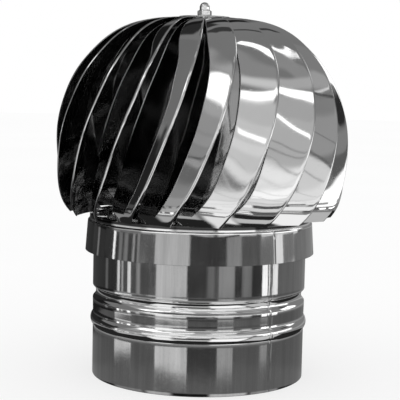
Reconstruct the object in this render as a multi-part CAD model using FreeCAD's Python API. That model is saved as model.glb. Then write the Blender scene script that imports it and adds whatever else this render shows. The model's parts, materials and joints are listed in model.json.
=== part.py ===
import FreeCAD, Part
import math
import os

# Rotating ball-shaped chimney cap for a 200 mm round flue.
# Millimetres, +Z up, origin on the axis at the bottom rim of the spigot tube.
# The tube, its two crossbars and the bearing housing stand still.
# The skirt collar, the curved vanes, the hub and the spindle turn about +Z.

V = FreeCAD.Vector

# ---------------------------------------------------------------- dimensions
SHEET = 0.6            # tube and collar sheet thickness
VANE_T = 0.5           # vane sheet thickness

# spigot tube
TUBE_R = 100.0         # outside radius below the bead
TUBE_R_UP = 100.3      # outside radius above the groove
TUBE_TOP = 140.0       # top rim, hidden inside the collar
BEAD_Z = 52.6          # outward bead: centre height, half width, height, foot radius
BEAD_HALF = 5.9
BEAD_H = 2.3
BEAD_FOOT = 1.4
GROOVE_Z = 78.2        # inward groove: centre height, half width, depth, foot radius
GROOVE_HALF = 6.1
GROOVE_D = 3.0
GROOVE_FOOT = 1.4

# skirt collar
SKIRT_R_BOT = 107.7    # outside radius at the flared lower rim
SKIRT_R_TOP = 105.8    # outside radius under the rounded shoulder
SKIRT_Z_BOT = 117.3
SKIRT_Z_SHOULDER = 146.2
LIP_R = 104.0          # outside radius of the short upright lip
FLANGE_Z = 152.0       # upper face of the inward flange
FLANGE_R_IN = 86.0
HEM_H = 4.0            # folded hem at the lower rim

# vanes
N_VANES = 19
VANE_WIDTH_DEG = 20.4  # angular width of one vane
VANE_BASE_DEG = -84.0  # angle of the front vane's free edge at the widest level
LIP_LEN = 2.6          # narrow stiffening lip bent in along the free edge
LIP_DEG = 38.0
# meridian of the free edges, from the bottom corner to the tip: r, z, advance in degrees
MERIDIAN = [
    (122.9, 152.0, -17.0), (127.3, 158.0, -15.3), (131.8, 168.0, -12.4), (135.4, 185.0, -8.0),
    (137.0, 210.0, -3.3), (135.6, 235.0, 0.75), (129.4, 260.0, 4.3), (118.2, 285.0, 7.6),
    (104.2, 303.0, 10.0), (88.6, 317.4, 11.8), (69.0, 328.0, 13.2), (48.0, 333.2, 14.4),
    (32.0, 334.6, 15.2), (20.0, 334.9, 15.6)]
# depth of the inner edge under the free-edge surface, by fraction of the meridian length
DEPTH = [(0.0, 22.7), (0.06, 22.9), (0.14, 24.5), (0.26, 25.8), (0.42, 23.3), (0.62, 17.5),
         (0.80, 7.4), (0.92, 3.0), (1.0, 1.4)]
# outward bulge of the middle of each cross-section, by fraction of the meridian length
BULGE = [(0.0, 1.9), (0.25, 1.8), (0.5, 0.7), (0.75, 0.9), (1.0, 0.0)]
# hand-set spacing errors of the vanes at the widest level and at the crown, in degrees
DEV_MID = [-1.7, -0.25, 0.4, -0.75, 0.3, -0.4, 0.5, -0.2, 0.6, -0.5, 0.2, 0.4, -0.6, 0.3, -0.2, 0.4,
           1.0, 0.5, 0.25]
DEV_TOP = [1.0, 0.5, 0.2, 0.0, 0.0, 0.0, 0.0, 0.0, 0.0, 0.0, -0.5, -1.5, -3.0, -5.0, -7.0, -8.5,
           -8.0, -5.0, -2.5]
TAB_LEN = 12.0         # foot tab on the collar flange
TAB_WIDE = 9.0

# hub
HUB_DISC_R = 40.0
HUB_FLAT_R = 18.0
HUB_DISH = 3.0         # drop of the disc from its flat middle to its rim
HUB_DISC_TOP = 333.0
HUB_DISC_T = 1.2
HUB_PLATE_R = 24.0
HUB_PLATE_Z = 335.1
HUB_PLATE_T = 1.0
WASHER_T = 1.2
NUT_AF = 12.0          # cap nut: hexagon, dome, total height
NUT_HEX_H = 3.6
NUT_H = 12.0
NUT_DOME_R = 4.65

# spindle and bearing housing
SPINDLE_R = 4.0        # in the bearings
SPINDLE_R_UP = 5.0     # above the bearings
SPINDLE_R_TOP = 3.0    # threaded end under the cap nut
SPINDLE_BOT = 8.0
HOUSE_BOT = 20.0
HOUSE_TOP = 142.0
HOUSE_R = 13.0
HOUSE_BORE = 10.0
BRG_R_OUT = 11.0       # ball bearing 8 x 22 x 7
BRG_R_IN = 4.0
BRG_W = 7.0
BRG_PITCH = 7.5
BALL_R = 1.984
RACE_R = 2.04
BALLS = 7

# crossbars
BAR_T = 2.5
BAR_W = 20.0
BAR_EYE_R = 22.0
BAR_UP_Z = 88.0        # underside of the upper crossbar
BAR_LOW_Z = 34.0       # underside of the lower crossbar
BAR_UP_DEG = 78.0      # direction of the upper crossbar; its front foot is at -102 degrees
BAR_LOW_DEG = -12.0
FOOT_H = 22.0

os.makedirs("parts", exist_ok=True)


# ------------------------------------------------------------------- helpers
def rad(d):
    return math.radians(d)


def cyl(r, z0, z1):
    return Part.makeCylinder(r, z1 - z0, V(0, 0, z0))


def ring(r_out, r_in, z0, z1):
    return cyl(r_out, z0, z1).cut(cyl(r_in, z0 - 1, z1 + 1))


def line(a, b):
    return Part.makeLine(V(a[0], 0, a[1]), V(b[0], 0, b[1]))


def arc(a, m, b):
    return Part.Arc(V(a[0], 0, a[1]), V(m[0], 0, m[1]), V(b[0], 0, b[1])).toShape()


def revolve_profile(edges):
    """Closed profile in the XZ plane turned once about the Z axis."""
    wire = Part.Wire(Part.__sortEdges__(edges))
    return Part.Face(wire).revolve(V(0, 0, 0), V(0, 0, 1), 360)


def export(name, shape):
    if shape.ShapeType == "Compound" and len(shape.Solids) == 1:
        shape = shape.Solids[0]
    ok = shape.isValid()
    print("%-24s valid %s solids %d volume %.1f mm3" % (name, ok, len(shape.Solids), shape.Volume))
    shape.exportStep("parts/%s.step" % name)
    MADE[name] = shape


MADE = {}


def hexagon(af, z0, z1, turn=0.0):
    r = af / math.sqrt(3.0)
    pts = [V(r * math.cos(rad(60 * i + turn)), r * math.sin(rad(60 * i + turn)), z0) for i in range(7)]
    pts[6] = pts[0]
    return Part.Face(Part.makePolygon(pts)).extrude(V(0, 0, z1 - z0))


# ---------------------------------------------------------------- spigot tube
def swell(r0, zc, half, h, foot, t, sign):
    """One skin of a rolled bead (sign 1) or groove (sign -1): points and arcs from low to high.
    t is the offset of this skin from the outer one, towards the axis."""
    big = (half * half + h * h) / (2.0 * h)
    big = big * 0.92
    dz = math.sqrt((big + foot) ** 2 - (big + foot - h) ** 2)
    cr = r0 + sign * (h - big)          # centre of the crest arc
    fr = r0 + sign * foot               # centre of the foot arcs
    rc = big - sign * t                 # crest radius on this skin
    rf = foot + sign * t                # foot radius on this skin
    out = []
    ang = math.atan2(dz, sign * (fr - cr))
    for s in (-1.0, 1.0):
        fz = zc + s * dz
        # tangent point between foot arc and crest arc
        tr = cr + sign * rc * math.cos(ang)
        tz = zc + s * rc * math.sin(ang)
        foot_end = (fr - sign * rf, fz)
        half_ang = ang * 0.5
        mid = (fr - sign * rf * math.cos(half_ang), fz - s * rf * math.sin(half_ang))
        out.append((foot_end, mid, (tr, tz)))
    low, high = out
    crest = (cr + sign * rc, zc)
    return low, crest, high


def tube_skin(t):
    """Edges of one tube skin from the bottom to the top; t = 0 is the outer skin."""
    edges = []
    low, crest, high = swell(TUBE_R, BEAD_Z, BEAD_HALF, BEAD_H, BEAD_FOOT, t, 1)
    edges.append(line((TUBE_R - t, 0), low[0]))
    edges.append(arc(low[0], low[1], low[2]))
    edges.append(arc(low[2], crest, high[2]))
    edges.append(arc(high[2], high[1], high[0]))
    r_mid = TUBE_R_UP - t
    low2, crest2, high2 = swell(TUBE_R_UP, GROOVE_Z, GROOVE_HALF, GROOVE_D, GROOVE_FOOT, t, -1)
    edges.append(line(high[0], low2[0]))
    edges.append(arc(low2[0], low2[1], low2[2]))
    edges.append(arc(low2[2], crest2, high2[2]))
    edges.append(arc(high2[2], high2[1], high2[0]))
    edges.append(line(high2[0], (r_mid, TUBE_TOP)))
    return edges


outer = tube_skin(0.0)
inner = tube_skin(SHEET)
tube_edges = outer + inner
tube_edges.append(line((TUBE_R, 0), (TUBE_R - SHEET, 0)))
tube_edges.append(line((TUBE_R_UP, TUBE_TOP), (TUBE_R_UP - SHEET, TUBE_TOP)))
base_tube = revolve_profile(tube_edges)
export("base_tube", base_tube)

# -------------------------------------------------------------- skirt collar
# Flared wall with a folded hem at the bottom, a rounded shoulder at the top,
# a short upright lip and an inward flange that carries the vane feet.
t = SHEET
sh_r = 1.6
wall_slope = (SKIRT_R_TOP - SKIRT_R_BOT) / (SKIRT_Z_SHOULDER - SKIRT_Z_BOT)
zs = SKIRT_Z_SHOULDER
a0 = (SKIRT_R_BOT, SKIRT_Z_BOT)
a1 = (SKIRT_R_TOP, zs - sh_r)
a2 = (SKIRT_R_TOP - sh_r * 0.293, zs - sh_r * 0.293)
a3 = (SKIRT_R_TOP - sh_r, zs)
lip_foot = (LIP_R, zs)
b0 = (LIP_R, FLANGE_Z - 1.2)
b1 = (LIP_R - 1.2 * 0.293, FLANGE_Z - 1.2 * 0.293)
b2 = (LIP_R - 1.2, FLANGE_Z)
c0 = (FLANGE_R_IN, FLANGE_Z)
ri = LIP_R - t
skirt_edges = [
    line(a0, a1), arc(a1, a2, a3), line(a3, lip_foot), line(lip_foot, b0), arc(b0, b1, b2),
    line(b2, c0), line(c0, (FLANGE_R_IN, FLANGE_Z - t)),
    line((FLANGE_R_IN, FLANGE_Z - t), (LIP_R - 1.2, FLANGE_Z - t)),
    arc((LIP_R - 1.2, FLANGE_Z - t), (LIP_R - 1.2 + 0.6 * 0.707, FLANGE_Z - 1.2 + 0.6 * 0.707), (ri, FLANGE_Z - 1.2)),
    line((ri, FLANGE_Z - 1.2), (ri, zs - t)),
    line((ri, zs - t), (SKIRT_R_TOP - sh_r, zs - t)),
    arc((SKIRT_R_TOP - sh_r, zs - t),
        (SKIRT_R_TOP - sh_r + (sh_r - t) * 0.707, zs - sh_r + (sh_r - t) * 0.707),
        (SKIRT_R_TOP - t, zs - sh_r)),
    line((SKIRT_R_TOP - t, zs - sh_r), (SKIRT_R_BOT - t + wall_slope * HEM_H, SKIRT_Z_BOT + HEM_H)),
    line((SKIRT_R_BOT - t + wall_slope * HEM_H, SKIRT_Z_BOT + HEM_H),
         (SKIRT_R_BOT - 2 * t + wall_slope * HEM_H, SKIRT_Z_BOT + HEM_H)),
    line((SKIRT_R_BOT - 2 * t + wall_slope * HEM_H, SKIRT_Z_BOT + HEM_H), (SKIRT_R_BOT - 2 * t, SKIRT_Z_BOT + 0.35)),
    arc((SKIRT_R_BOT - 2 * t, SKIRT_Z_BOT + 0.35), (SKIRT_R_BOT - 1.0 * t, SKIRT_Z_BOT - 0.25), a0),
]
skirt = revolve_profile(skirt_edges)
export("skirt_collar", skirt)


# --------------------------------------------------------------------- vanes
def lerp_table(table, u):
    for (u0, v0), (u1, v1) in zip(table, table[1:]):
        if u <= u1:
            f = (u - u0) / (u1 - u0)
            f = f * f * (3 - 2 * f) * 0.35 + f * 0.65
            return v0 + (v1 - v0) * f
    return table[-1][1]


def meridian_stations():
    d = [0.0]
    for a, b in zip(MERIDIAN, MERIDIAN[1:]):
        d.append(d[-1] + math.hypot(b[0] - a[0], b[1] - a[1]))
    return d


STA = meridian_stations()
MER_CURVE = Part.BSplineCurve()
MER_CURVE.interpolate([V(m[0], 0, m[1]) for m in MERIDIAN], Parameters=STA)
ADV_CURVE = Part.BSplineCurve()
ADV_CURVE.interpolate([V(s, m[2], 0) for s, m in zip(STA, MERIDIAN)], Parameters=STA)
N_STA = 17


def vane_section(k, s):
    """Bend-line point and inner-edge point of one cross-section, its radius and its bulge."""
    u = s / STA[-1]
    p = MER_CURVE.value(s)
    tan = MER_CURVE.tangent(s)[0]
    nr, nz = tan.z, -tan.x
    if nz < 0:                       # below the widest level the sections are horizontal
        nr, nz = 1.0, 0.0
    adv = ADV_CURVE.value(s).y
    top = max(0.0, (u - 0.42) / 0.58)
    top = top * top * (3 - 2 * top)
    ang = VANE_BASE_DEG + 360.0 / N_VANES * k + DEV_MID[k] + DEV_TOP[k] * top + adv
    depth = lerp_table(DEPTH, u)
    ri, zi = p.x - depth * nr, p.z - depth * nz
    po = V(p.x * math.cos(rad(ang)), p.x * math.sin(rad(ang)), p.z)
    ai = ang - VANE_WIDTH_DEG
    pi = V(ri * math.cos(rad(ai)), ri * math.sin(rad(ai)), zi)
    return po, pi, p.x, lerp_table(BULGE, u)


def vane_frames(k):
    ss = [STA[-1] * i / (N_STA - 1.0) for i in range(N_STA)]
    raw = [vane_section(k, s) for s in ss]
    rows = []
    for i, (po, pi, r, bulge) in enumerate(raw):
        a = raw[max(0, i - 1)]
        b = raw[min(N_STA - 1, i + 1)]
        along = (b[0] - a[0]) + (b[1] - a[1])
        e = po - pi
        e.normalize()
        if i == 0 or po.z < MERIDIAN[4][1]:
            # keep the low sections level, so that the bottom edge is cut flat
            n = V(e.y, -e.x, 0)
            n.normalize()
        else:
            n = e.cross(along)
            n.normalize()
        if n.dot(V(po.x, po.y, po.z - 212.0)) < 0:
            n = n * -1.0
        rows.append([po, pi, e, n, r, bulge])
    # smooth hand-over between level sections and true normals
    for i in range(1, N_STA - 1):
        rows[i].append((rows[i - 1][3] + rows[i][3] * 2.0 + rows[i + 1][3]))
    rows[0].append(rows[0][3])
    rows[-1].append(rows[-1][3])
    out = []
    for po, pi, e, n0, r, bulge, n in rows:
        n.normalize()
        n = n - e * n.dot(e)
        n.normalize()
        lip = LIP_LEN * min(1.0, r / 100.0)
        c, s_ = math.cos(rad(LIP_DEG)), math.sin(rad(LIP_DEG))
        f = po + e * (lip * c) - n * (lip * s_)
        ln = n * c + e * s_
        bend_in = po - n * VANE_T - e * (VANE_T * math.tan(rad(LIP_DEG / 2)))
        # corners round the section, then the middle control points of both curved skins
        mid = (pi + po) * 0.5 + n * (2.0 * bulge)
        out.append((pi, po, f, f - ln * VANE_T, bend_in, pi - n * VANE_T, mid, mid - n * VANE_T))
    return out


def curved_skin(first, middle, last):
    """Surface that is parabolic across, through its first and last curve, drawn to the middle one."""
    poles = list(zip(first.getPoles(), middle.getPoles(), last.getPoles()))
    surf = Part.BSplineSurface()
    surf.buildFromPolesMultsKnots([list(row) for row in poles], first.getMultiplicities(), [3, 3],
                                  first.getKnots(), [0.0, 1.0], False, False, first.Degree, 2)
    return surf.toShape()


def parabola(a, m, b):
    bz = Part.BezierCurve()
    bz.setPoles([a, m, b])
    return bz.toShape()


def vane_solid(k):
    frames = vane_frames(k)
    params = [float(i) for i in range(N_STA)]
    lines = []
    for j in range(8):
        bs = Part.BSplineCurve()
        bs.interpolate([fr[j] for fr in frames], Parameters=params)
        lines.append(bs)
    curves = [bs.toShape() for bs in lines[:6]]
    faces = [curved_skin(lines[0], lines[6], lines[1]), curved_skin(lines[5], lines[7], lines[4])]
    for j in (1, 2, 3, 5):
        faces.append(Part.makeRuledSurface(curves[j], curves[(j + 1) % 6]))
    for fr in (frames[0], frames[-1]):
        # end faces: one between the two curved skins, one for the lip
        faces.append(Part.makeRuledSurface(parabola(fr[0], fr[6], fr[1]), parabola(fr[5], fr[7], fr[4])))
        faces.append(Part.makeRuledSurface(Part.makeLine(fr[1], fr[4]), Part.makeLine(fr[2], fr[3])))
    comp = Part.Compound(faces)
    comp.sewShape(1e-4)
    shell = comp.Shells[0] if comp.Shells else Part.Shell(comp.Faces)
    solid = Part.Solid(shell)
    if solid.Volume < 0:
        solid.reverse()
    # foot tab, bent inward at the bottom corner and lying on the collar flange
    pi, po = frames[0][0], frames[0][1]
    e = po - pi
    e.normalize()
    n = V(e.y, -e.x, 0)
    if n.dot(V(pi.x, pi.y, 0)) > 0:
        n = n * -1.0
    z = V(0, 0, VANE_T)
    a = pi + e * 0.8
    b = pi + e * (0.8 + TAB_LEN)
    shift = n * (-0.05 + 0.0)
    c1 = b + n * TAB_WIDE - e * 1.2
    d1 = a + n * TAB_WIDE + e * 1.2
    poly = Part.makePolygon([a + shift, b + shift, c1, d1, a + shift])
    tab = Part.Face(poly).extrude(z)
    fused = solid.fuse(tab)
    if len(fused.Solids) == 1 and fused.isValid():
        return fused.Solids[0]
    print("tab not fused on", k, len(fused.Solids), fused.isValid())
    return solid


for k in range(N_VANES):
    export("vane_%02d" % (k + 1), vane_solid(k))

# ----------------------------------------------------------------------- hub
# lower disc under the vane tips, flat at the middle, dished down outside it, with a turned-down rim
d_top, d_t = HUB_DISC_TOP, HUB_DISC_T
h_r = HUB_DISC_R
h_z = d_top - HUB_DISH
hub_edges = [
    line((SPINDLE_R_TOP + 0.05, d_top), (HUB_FLAT_R, d_top)),
    line((HUB_FLAT_R, d_top), (h_r - 1.2, h_z)),
    arc((h_r - 1.2, h_z), (h_r - 0.3, h_z - 0.5), (h_r, h_z - 1.4)),
    line((h_r, h_z - 1.4), (h_r, h_z - 5.0)),
    line((h_r, h_z - 5.0), (h_r - d_t, h_z - 5.0)),
    line((h_r - d_t, h_z - 5.0), (h_r - d_t, h_z - 1.5)),
    line((h_r - d_t, h_z - 1.5), (HUB_FLAT_R - 0.1, d_top - d_t)),
    line((HUB_FLAT_R - 0.1, d_top - d_t), (SPINDLE_R_TOP + 0.05, d_top - d_t)),
    line((SPINDLE_R_TOP + 0.05, d_top - d_t), (SPINDLE_R_TOP + 0.05, d_top)),
]
export("hub_disc", revolve_profile(hub_edges))

# upper plate over the vane tips, edge turned down a little
p0, pt = HUB_PLATE_Z, HUB_PLATE_T
plate_edges = [
    line((SPINDLE_R_TOP + 0.05, p0), (HUB_PLATE_R, p0)),
    arc((HUB_PLATE_R, p0), (HUB_PLATE_R - pt * 0.293, p0 + pt * 0.707), (HUB_PLATE_R - pt, p0 + pt)),
    line((HUB_PLATE_R - pt, p0 + pt), (SPINDLE_R_TOP + 0.05, p0 + pt)),
    line((SPINDLE_R_TOP + 0.05, p0 + pt), (SPINDLE_R_TOP + 0.05, p0)),
]
export("hub_plate", revolve_profile(plate_edges))

# spacer ring between disc and plate, inside the circle of the vane tips
export("hub_spacer", ring(14.0, SPINDLE_R_TOP + 0.05, d_top, p0))

# thick boss washer on the spindle shoulder, under the disc
boss_bot = d_top - d_t - 2.5
export("hub_boss_washer", ring(15.0, SPINDLE_R_TOP + 0.05, boss_bot, d_top - d_t))

# top washer and cap nut
w0 = p0 + pt
export("top_washer", ring(6.6, SPINDLE_R_TOP + 0.15, w0, w0 + WASHER_T))
n0 = w0 + WASHER_T
dome_top = n0 + NUT_H
z_sh = n0 + NUT_HEX_H + 1.3            # top of the conical shoulder
blind_z = n0 + 8.6
nut_edges = [
    line((SPINDLE_R_TOP, n0), (5.9, n0)),
    line((5.9, n0), (7.6, n0 + 0.7)),
    line((7.6, n0 + 0.7), (7.6, n0 + NUT_HEX_H - 0.2)),
    line((7.6, n0 + NUT_HEX_H - 0.2), (NUT_DOME_R, z_sh)),
    line((NUT_DOME_R, z_sh), (SPINDLE_R_TOP, z_sh)),
    line((SPINDLE_R_TOP, z_sh), (SPINDLE_R_TOP, n0)),
]
nut_hex = revolve_profile(nut_edges).common(hexagon(NUT_AF, n0 - 1.0, z_sh + 1.0, turn=12.0))
nut_dome = cyl(NUT_DOME_R, z_sh, dome_top - NUT_DOME_R)
nut_dome = nut_dome.fuse(Part.makeSphere(NUT_DOME_R, V(0, 0, dome_top - NUT_DOME_R), V(0, 0, 1), 0, 90, 360))
nut_dome = nut_dome.cut(cyl(SPINDLE_R_TOP, z_sh - 1.0, blind_z))
cap_nut = nut_hex.fuse(nut_dome).removeSplitter()
export("cap_nut", cap_nut)

# ------------------------------------------------------------------- spindle
sp_top = n0 + 8.0
sp_shoulder = HOUSE_TOP + 0.0
spindle = cyl(SPINDLE_R, SPINDLE_BOT, sp_shoulder)
spindle = spindle.fuse(cyl(SPINDLE_R_UP, sp_shoulder, boss_bot))
spindle = spindle.fuse(cyl(SPINDLE_R_TOP - 0.02, boss_bot, sp_top)).removeSplitter()
spindle = spindle.makeChamfer(0.7, [ed for ed in spindle.Edges
                                    if abs(ed.BoundBox.ZMax - SPINDLE_BOT) < 1e-4 and ed.BoundBox.ZLength < 1e-4])
export("spindle", spindle)

# ------------------------------------------------------------------- housing
up0, up1 = HOUSE_TOP - BRG_W, HOUSE_TOP          # upper bearing
lo0, lo1 = HOUSE_BOT, HOUSE_BOT + BRG_W          # lower bearing
house = cyl(HOUSE_R, HOUSE_BOT, HOUSE_TOP)
house = house.cut(cyl(HOUSE_BORE, HOUSE_BOT - 1, HOUSE_TOP + 1))
house = house.cut(cyl(BRG_R_OUT, up0, up1 + 1)).cut(cyl(BRG_R_OUT, lo0 - 1, lo1))
export("bearing_housing", house)


def race_torus(zc):
    return Part.makeTorus(BRG_PITCH, RACE_R, V(0, 0, zc))


def bearing(tag, z0):
    zc = z0 + BRG_W / 2
    groove = race_torus(zc)
    outer_ring = ring(BRG_R_OUT, 9.0, z0, z0 + BRG_W).cut(groove)
    inner_ring = ring(6.1, BRG_R_IN, z0, z0 + BRG_W).cut(groove)
    export("bearing_outer_%s" % tag, outer_ring)
    export("bearing_inner_%s" % tag, inner_ring)
    balls = []
    for i in range(BALLS):
        a = rad(360.0 / BALLS * i)
        balls.append(Part.makeSphere(BALL_R, V(BRG_PITCH * math.cos(a), BRG_PITCH * math.sin(a), zc)))
    # solid cage: one ring with a radially drilled pocket for each ball
    cage = ring(BRG_PITCH + 0.7, BRG_PITCH - 0.7, zc - 2.6, zc + 2.6)
    for i in range(BALLS):
        a = rad(360.0 / BALLS * i)
        out = V(math.cos(a), math.sin(a), 0)
        cage = cage.cut(Part.makeCylinder(BALL_R + 0.06, 6.0, V(0, 0, zc) + out * (BRG_PITCH - 3.0), out))
    export("bearing_cage_%s" % tag, cage)
    export("bearing_balls_%s" % tag, Part.Compound(balls))


bearing("upper", up0)
bearing("lower", lo0)

# tube between the two inner rings, washer and lock nut at the lower end
export("spacer_sleeve", ring(5.6, SPINDLE_R + 0.03, lo1, up0))
export("lower_washer", ring(5.9, SPINDLE_R + 0.1, HOUSE_BOT - 1.5, HOUSE_BOT))
nut_z1 = HOUSE_BOT - 1.5
lock = hexagon(13.0, nut_z1 - 6.5, nut_z1, turn=0.0)
lock = lock.common(Part.makeCone(6.9, 8.4, 1.1, V(0, 0, nut_z1 - 6.5)).fuse(cyl(8.4, nut_z1 - 5.4, nut_z1 + 1)))
lock = lock.cut(cyl(SPINDLE_R, nut_z1 - 10, nut_z1 + 1))
export("lower_lock_nut", lock)


# ----------------------------------------------------------------- crossbars
def crossbar(z0, foot_r, deg, fillet=4.0):
    """Flat bar across the tube with a round eye, and both ends bent down on the tube wall."""
    z1 = z0 + BAR_T
    half = BAR_W / 2
    # side outline in the XZ plane: feet down, flat on top
    xo = foot_r
    ri, ro = fillet - BAR_T, fillet
    pts = []
    right = [
        line((0, z1), (xo - ro, z1)),
        arc((xo - ro, z1), (xo - ro + ro * 0.7071, z1 - ro + ro * 0.7071), (xo, z1 - ro)),
        line((xo, z1 - ro), (xo, z1 - FOOT_H)),
        line((xo, z1 - FOOT_H), (xo - BAR_T, z1 - FOOT_H)),
        line((xo - BAR_T, z1 - FOOT_H), (xo - BAR_T, z1 - ro)),
        arc((xo - BAR_T, z1 - ro), (xo - ro + ri * 0.7071, z1 - ro + ri * 0.7071), (xo - ro, z0)),
        line((xo - ro, z0), (0, z0)),
        line((0, z0), (0, z1)),
    ]
    face = Part.Face(Part.Wire(Part.__sortEdges__(right)))
    arm = face.extrude(V(0, BAR_W, 0))
    arm.translate(V(0, -half, 0))
    other = arm.copy()
    other.rotate(V(0, 0, 0), V(0, 0, 1), 180)
    eye = cyl(BAR_EYE_R, z0, z1)
    bar = arm.fuse(other).fuse(eye).removeSplitter()
    bar = bar.cut(cyl(HOUSE_R + 0.01, z0 - 5, z1 + 5))
    bar = bar.common(cyl(foot_r, z0 - 60, z1 + 5))
    bar.rotate(V(0, 0, 0), V(0, 0, 1), deg)
    return bar


groove_in_r = TUBE_R_UP - GROOVE_D - SHEET
export("crossbar_upper", crossbar(BAR_UP_Z, groove_in_r - 0.02, BAR_UP_DEG))
export("crossbar_lower", crossbar(BAR_LOW_Z, TUBE_R - SHEET - 0.02, BAR_LOW_DEG))

print("nodes", len(MADE))
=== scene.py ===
import bpy
import json
import math
import random
import numpy as np
from mathutils import Matrix, Vector


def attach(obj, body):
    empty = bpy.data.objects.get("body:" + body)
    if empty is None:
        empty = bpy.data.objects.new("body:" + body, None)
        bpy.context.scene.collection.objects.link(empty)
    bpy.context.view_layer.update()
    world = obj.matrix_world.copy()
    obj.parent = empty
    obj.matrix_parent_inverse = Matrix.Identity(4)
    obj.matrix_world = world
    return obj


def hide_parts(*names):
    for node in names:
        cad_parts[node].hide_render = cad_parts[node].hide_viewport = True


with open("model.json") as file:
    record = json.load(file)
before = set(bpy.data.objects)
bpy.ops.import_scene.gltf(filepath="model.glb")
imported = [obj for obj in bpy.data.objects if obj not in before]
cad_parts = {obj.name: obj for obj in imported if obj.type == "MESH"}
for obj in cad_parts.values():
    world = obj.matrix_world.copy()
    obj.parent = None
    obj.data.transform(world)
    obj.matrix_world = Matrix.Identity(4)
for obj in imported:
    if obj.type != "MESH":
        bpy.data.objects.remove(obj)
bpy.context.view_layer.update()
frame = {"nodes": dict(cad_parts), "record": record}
NODES = frame["nodes"]
MM = 0.001
scene = bpy.context.scene

# =====================================================================================
# Dimensions, repeated from the construction, in millimetres
# =====================================================================================
SHEET = 0.6
VANE_T = 0.5
TUBE_R, TUBE_R_UP, TUBE_TOP = 100.0, 100.3, 140.0
BEAD_Z, BEAD_HALF, BEAD_H, BEAD_FOOT = 52.6, 5.9, 2.3, 1.4
GROOVE_Z, GROOVE_HALF, GROOVE_D, GROOVE_FOOT = 78.2, 6.1, 3.0, 1.4
SKIRT_R_BOT, SKIRT_R_TOP = 107.7, 105.8
SKIRT_Z_BOT, SKIRT_Z_SHOULDER = 117.3, 146.2
LIP_R, FLANGE_Z, FLANGE_R_IN, HEM_H = 104.0, 152.0, 86.0, 4.0
N_VANES, VANE_WIDTH_DEG, VANE_BASE_DEG = 19, 20.4, -84.0
LIP_LEN, LIP_DEG = 2.6, 38.0
MERIDIAN = [
    (122.9, 152.0, -17.0), (127.3, 158.0, -15.3), (131.8, 168.0, -12.4), (135.4, 185.0, -8.0),
    (137.0, 210.0, -3.3), (135.6, 235.0, 0.75), (129.4, 260.0, 4.3), (118.2, 285.0, 7.6),
    (104.2, 303.0, 10.0), (88.6, 317.4, 11.8), (69.0, 328.0, 13.2), (48.0, 333.2, 14.4),
    (32.0, 334.6, 15.2), (20.0, 334.9, 15.6)]
DEPTH = [(0.0, 22.7), (0.06, 22.9), (0.14, 24.5), (0.26, 25.8), (0.42, 23.3), (0.62, 17.5),
         (0.80, 7.4), (0.92, 3.0), (1.0, 1.4)]
BULGE = [(0.0, 1.9), (0.25, 1.8), (0.5, 0.7), (0.75, 0.9), (1.0, 0.0)]
DEV_MID = [-1.7, -0.25, 0.4, -0.75, 0.3, -0.4, 0.5, -0.2, 0.6, -0.5, 0.2, 0.4, -0.6, 0.3, -0.2, 0.4,
           1.0, 0.5, 0.25]
DEV_TOP = [1.0, 0.5, 0.2, 0.0, 0.0, 0.0, 0.0, 0.0, 0.0, 0.0, -0.5, -1.5, -3.0, -5.0, -7.0, -8.5,
           -8.0, -5.0, -2.5]
TAB_LEN, TAB_WIDE = 12.0, 9.0


# =====================================================================================
# Small helpers
# =====================================================================================
class Spline:
    """Natural cubic spline through (x, y) points."""

    def __init__(self, x, y):
        x, y = np.asarray(x, float), np.asarray(y, float)
        n = len(x)
        h = np.diff(x)
        a = np.zeros((n, n))
        b = np.zeros(n)
        a[0, 0] = a[-1, -1] = 1.0
        for i in range(1, n - 1):
            a[i, i - 1], a[i, i], a[i, i + 1] = h[i - 1], 2 * (h[i - 1] + h[i]), h[i]
            b[i] = 6 * ((y[i + 1] - y[i]) / h[i] - (y[i] - y[i - 1]) / h[i - 1])
        self.m = np.linalg.solve(a, b)
        self.x, self.y, self.h = x, y, h

    def __call__(self, t, d=0):
        t = np.asarray(t, float)
        i = np.clip(np.searchsorted(self.x, t) - 1, 0, len(self.h) - 1)
        h = self.h[i]
        u, v = self.x[i + 1] - t, t - self.x[i]
        m0, m1, y0, y1 = self.m[i], self.m[i + 1], self.y[i], self.y[i + 1]
        if d == 0:
            return (m0 * u ** 3 + m1 * v ** 3) / (6 * h) + (y0 / h - m0 * h / 6) * u + (y1 / h - m1 * h / 6) * v
        return (-m0 * u ** 2 + m1 * v ** 2) / (2 * h) - (y0 / h - m0 * h / 6) + (y1 / h - m1 * h / 6)


def unit(v):
    return v / np.maximum(np.linalg.norm(v, axis=-1, keepdims=True), 1e-12)


def new_object(name, verts, faces, sharp_deg=35.0):
    """A mesh object from millimetre vertices and faces (lists of indices), shaded smooth with sharp edges by angle."""
    me = bpy.data.meshes.new(name)
    me.from_pydata([tuple(v) for v in np.asarray(verts) * MM], [], [tuple(f) for f in faces])
    me.validate()
    me.polygons.foreach_set("use_smooth", [True] * len(me.polygons))
    me.update()
    me.set_sharp_from_angle(angle=math.radians(sharp_deg))
    ob = bpy.data.objects.new(name, me)
    scene.collection.objects.link(ob)
    return ob


def grid_faces(n_rows, n_cols, close_rows=False, close_cols=False, base=0, flip=False):
    out = []
    for i in range(n_rows if close_rows else n_rows - 1):
        for j in range(n_cols if close_cols else n_cols - 1):
            a = base + i * n_cols + j
            b = base + i * n_cols + (j + 1) % n_cols
            c = base + ((i + 1) % n_rows) * n_cols + (j + 1) % n_cols
            d = base + ((i + 1) % n_rows) * n_cols + j
            out.append((a, d, c, b) if flip else (a, b, c, d))
    return out


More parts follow.
